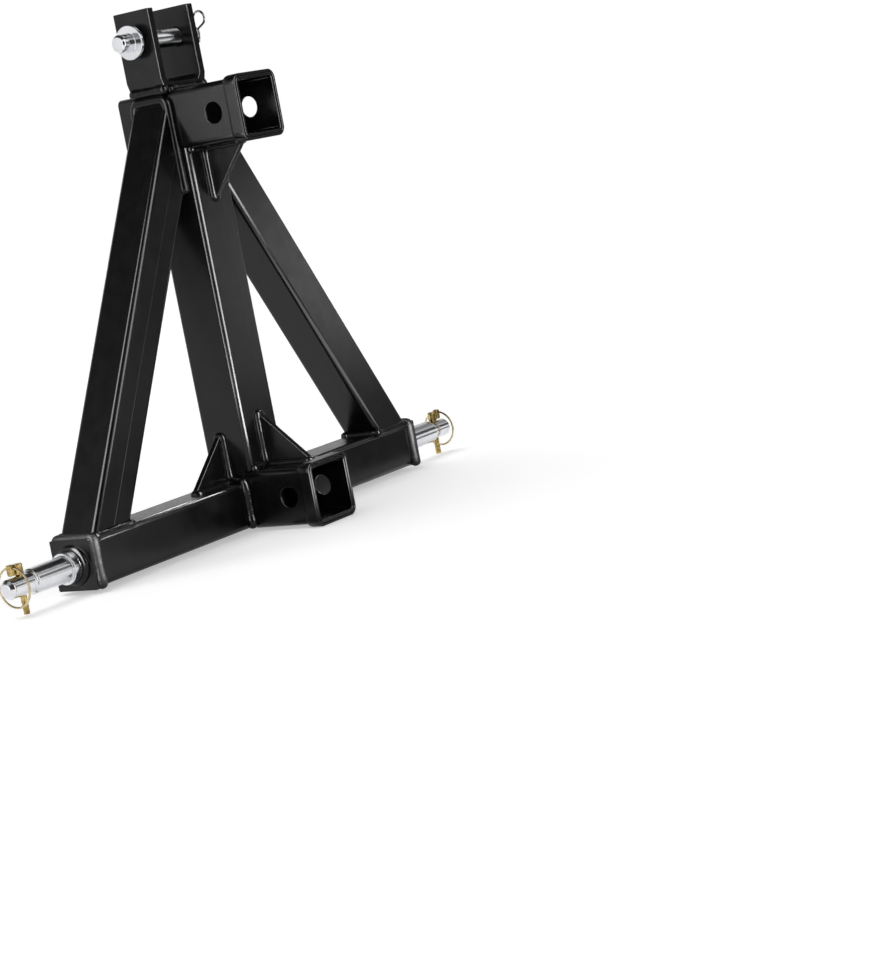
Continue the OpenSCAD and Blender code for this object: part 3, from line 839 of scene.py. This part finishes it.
post_corner = alone("post alone", "mast_post")
mouth_edges = alone("lower receiver alone", "lower_receiver_tube", "lower_receiver_collar")
leg_edge = alone("right leg alone", "leg_right")
lying_softbox("floor softbox", -0.16, -0.47, 0.52, 0.50, 75, grainy_beads)
lying_softbox("right end softbox", 0.20, -0.28, 0.14, 0.30, 75, grainy_beads)
lying_softbox("plate edge softbox", -0.80, -0.22, 0.50, 0.30, 20, bright_lines)
lying_softbox("post softbox", -0.02, -0.55, 0.18, 0.60, 60, post_corner)
lying_softbox("mouth softbox", -0.02, -0.50, 0.30, 0.50, 40, mouth_edges)
lying_softbox("leg softbox", 0.14, -0.22, 0.44, 0.24, 5, leg_edge)

# Long thin strips high on the right put a light streak along what lies level: the edges of
# the crossbar, the beads and the lower receiver's mouth.
streak_place = (1.05, 0.05, 1.10)
streak_aim = (0, 0, 0.25)
streak_length = 1.2
bar_edge = alone("crossbar alone", "crossbar_tube")
softbox("mouth streak", streak_place, streak_aim, streak_length, 0.30, 12, mouth_edges)
softbox("right streak", streak_place, streak_aim, streak_length, 0.16, 70, bar_edge)
softbox("bead streak", streak_place, streak_aim, streak_length, 0.10, 20, bead_lines)

# A low softbox far to the right brightens the middle of the right leg, and one behind on the
# left brightens the receivers' sides. A strip overhead draws a line along the bare pins.
softbox("low softbox", (1.78, -1.28, 0.13), (0.2, 0, 0.13), 0.30, 0.30, 2.4, bright_lines)
softbox("rear softbox", (-1.52, 1.00, 0.43), (0, 0, 0.40), 0.25, 0.25, 4, receiver_lines)
softbox("metal strip", (0, -0.60, 1.00), (0, 0, 0.25), 1.6, 0.10, 1.2, bare_metal)


def card(name, place, side, up, shade):
    """A card that shows only in gloss. Its sides run both ways from its place, its middle."""
    place, side, up = Vector(place), Vector(side), Vector(up)
    mesh = bpy.data.meshes.new(name)
    mesh.from_pydata([tuple(place + a * side + b * up)
                      for a, b in ((-1, -1), (1, -1), (1, 1), (-1, 1))], [], [(0, 1, 2, 3)])
    sheet = bpy.data.objects.new(name, mesh)
    bpy.context.scene.collection.objects.link(sheet)
    finish, nodes, links, surface = new_finish(name)
    surface.inputs["Base Color"].default_value = grey(shade)
    surface.inputs["Specular IOR Level"].default_value = 0
    mesh.materials.append(finish)
    sheet.visible_camera = False
    sheet.visible_diffuse = False
    sheet.visible_shadow = False


# A black card near the camera puts the dark band between those lines. A pale one at the back
# right and a dark one at the back left stand in for the studio's far walls, so that the tops
# of the tubes and the receivers' sides don't turn white.
card("black_card", (-1.10, -1.16, 0.5), (0.42, -0.40, 0), (0, 0, 0.6), 0.002)
card("grey_card", (1.15, 0.97, 0.25), (-0.45, 0.53, 0), (0, 0, 0.3), 0.9)
card("rear_card", (-1.20, 1.00, 0.27), (0.32, 0.38, 0), (0, 0, 0.07), 0.1)

# Two dark cards stand to the right, and the flat fronts of the post and the legs mirror them.
# Two more lie on the floor in front for the crossbar's face, which they keep dark.
card("dark_card", (1.60, -1.25, 0.62), (0.56, 0.71, 0), (0, 0, 0.28), 0.08)
card("side_card", (1.24, -1.25, 0.25), (0.13, 0.16, 0), (0, 0, 0.25), 0.25)
card("lying_card", (0.70, -0.45, 0.001), (0.45, 0, 0), (0, 0.38, 0), 0.25)
card("near_card", (0.065, -0.45, 0.001), (0.185, 0, 0), (0, 0.38, 0), 0.7)

# The picture keeps the colours as they are written.
bpy.context.scene.view_settings.view_transform = "Standard"
